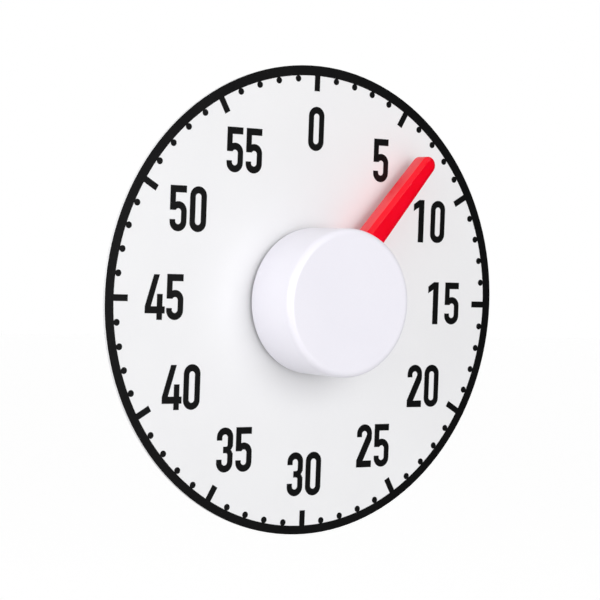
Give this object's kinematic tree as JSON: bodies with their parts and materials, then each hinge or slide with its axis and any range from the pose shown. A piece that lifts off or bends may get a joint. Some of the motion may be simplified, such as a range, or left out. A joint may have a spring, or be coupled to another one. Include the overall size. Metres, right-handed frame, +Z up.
{
  "type": "visual countdown timer",
  "caption": "Round white countdown timer: thin numbered dial plate, large wind-up knob with a red bevelled pointer, and a magnetic drum behind with a geared movement and a bell.",
  "frame": {"origin": "centre of the rear magnet plane, on the knob's axis", "axes": "+Z up towards the 0 of the dial, -Y out of the dial towards the viewer, +X to the right as the dial is seen"},
  "size_m": [0.18, 0.0456, 0.18],
  "materials": {
    "dial_white": "smooth white ABS with a soft sheen",
    "ink": "screen-printed black ink",
    "case_white": "fine-textured white ABS",
    "knob_white": "satin white ABS",
    "pointer_red": "glossy red ABS",
    "wheel_plastic": "moulded acetal, unpainted",
    "movement_brass": "stamped and turned brass",
    "steel": "turned and ground steel",
    "screw_steel": "zinc-plated steel screws",
    "spring_steel": "tempered spring steel strip",
    "bell_metal": "drawn and nickel-plated steel",
    "magnet": "nickel-plated disc magnets"
  },
  "bodies": {
    "case": {"dial_plate": "dial_white", "minute_band": "ink", "numerals": "ink", "drum_case": "case_white", "rear_cover": "case_white", "cover_screws": "screw_steel", "magnets": "magnet", "front_movement_plate": "movement_brass", "back_movement_plate": "movement_brass", "pillars": "steel", "pillar_screws": "screw_steel", "centre_bush": "movement_brass", "washer": "steel", "hex_nut": "steel", "mainspring": "spring_steel", "spring_post": "steel", "hammer_spring": "spring_steel", "bell": "bell_metal", "bell_screw": "screw_steel", "release_arbor": "steel", "release_spring": "spring_steel", "stop_pin": "steel"},
    "knob": {"knob_cap": "knob_white", "pointer": "pointer_red", "pointer_screws": "screw_steel", "knob_insert": "movement_brass", "main_arbor": "steel", "ratchet_wheel": "steel", "release_cam": "wheel_plastic", "stop_arm": "steel"},
    "great_wheel_body": {"great_wheel": "movement_brass", "click_rivet": "steel", "click_spring": "spring_steel"},
    "click_body": {"click": "steel"},
    "second_body": {"second_wheel": "wheel_plastic", "second_arbor": "steel", "alarm_star": "movement_brass"},
    "third_body": {"third_wheel": "wheel_plastic", "third_arbor": "steel"},
    "escape_body": {"escape_wheel": "wheel_plastic", "escape_arbor": "steel"},
    "pallet_body": {"pallet_lever": "movement_brass", "pallet_arbor": "steel", "balance_bar": "steel"},
    "hammer_body": {"hammer_lever": "steel", "hammer_tail": "steel", "hammer_arbor": "steel", "hammer_head": "movement_brass"},
    "release_body": {"release_lever": "movement_brass"}
  },
  "joints": [
    {"name": "knob_turn", "type": "hinge", "parent": "case", "child": "knob", "pos_m": [0, -0.03, 0], "axis": [0, 1, 0], "range_deg": [-40.2, 301.8]},
    {"name": "great_wheel_turn", "type": "hinge", "parent": "case", "child": "great_wheel_body", "pos_m": [0, -0.0142, 0], "axis": [0, 1, 0], "range_deg": [-40.2, 301.8]},
    {"name": "second_turn", "type": "hinge", "parent": "case", "child": "second_body", "pos_m": [0, -0.01, 0.0168], "axis": [0, 1, 0], "range_deg": [-2720, 365]},
    {"name": "third_turn", "type": "hinge", "parent": "case", "child": "third_body", "pos_m": [0.01147, -0.01, 0.01253], "axis": [0, 1, 0], "range_deg": [-2737, 20395]},
    {"name": "escape_turn", "type": "hinge", "parent": "case", "child": "escape_body", "pos_m": [0.01849, -0.01, 0.00432], "axis": [0, 1, 0], "range_deg": [-163157, 21893]},
    {"name": "click_lift", "type": "hinge", "parent": "great_wheel_body", "child": "click_body", "pos_m": [0.00805, -0.0132, 0.0072], "axis": [0, -1, 0], "range_deg": [0, 7.5], "stiffness_Nm_per_rad": 0.01},
    {"name": "pallet_swing", "type": "hinge", "parent": "case", "child": "pallet_body", "pos_m": [0.01684, -0.01, -0.00504], "axis": [0, 1, 0], "range_deg": [-5, 5]},
    {"name": "hammer_swing", "type": "hinge", "parent": "case", "child": "hammer_body", "pos_m": [-0.01447, -0.008, 0.01852], "axis": [0, 1, 0], "range_deg": [-1.7, 4], "stiffness_Nm_per_rad": 0.01},
    {"name": "release_lift", "type": "hinge", "parent": "case", "child": "release_body", "pos_m": [-0.01655, -0.0081, -0.0013], "axis": [0, 1, 0], "range_deg": [0, 4], "stiffness_Nm_per_rad": 0.01}
  ],
  "couplings": [
    {"joint": "great_wheel_turn", "follows": "knob_turn", "ratio": 1},
    {"joint": "second_turn", "follows": "knob_turn", "ratio": -9},
    {"joint": "third_turn", "follows": "knob_turn", "ratio": 67.5},
    {"joint": "escape_turn", "follows": "knob_turn", "ratio": -540}
  ]
}
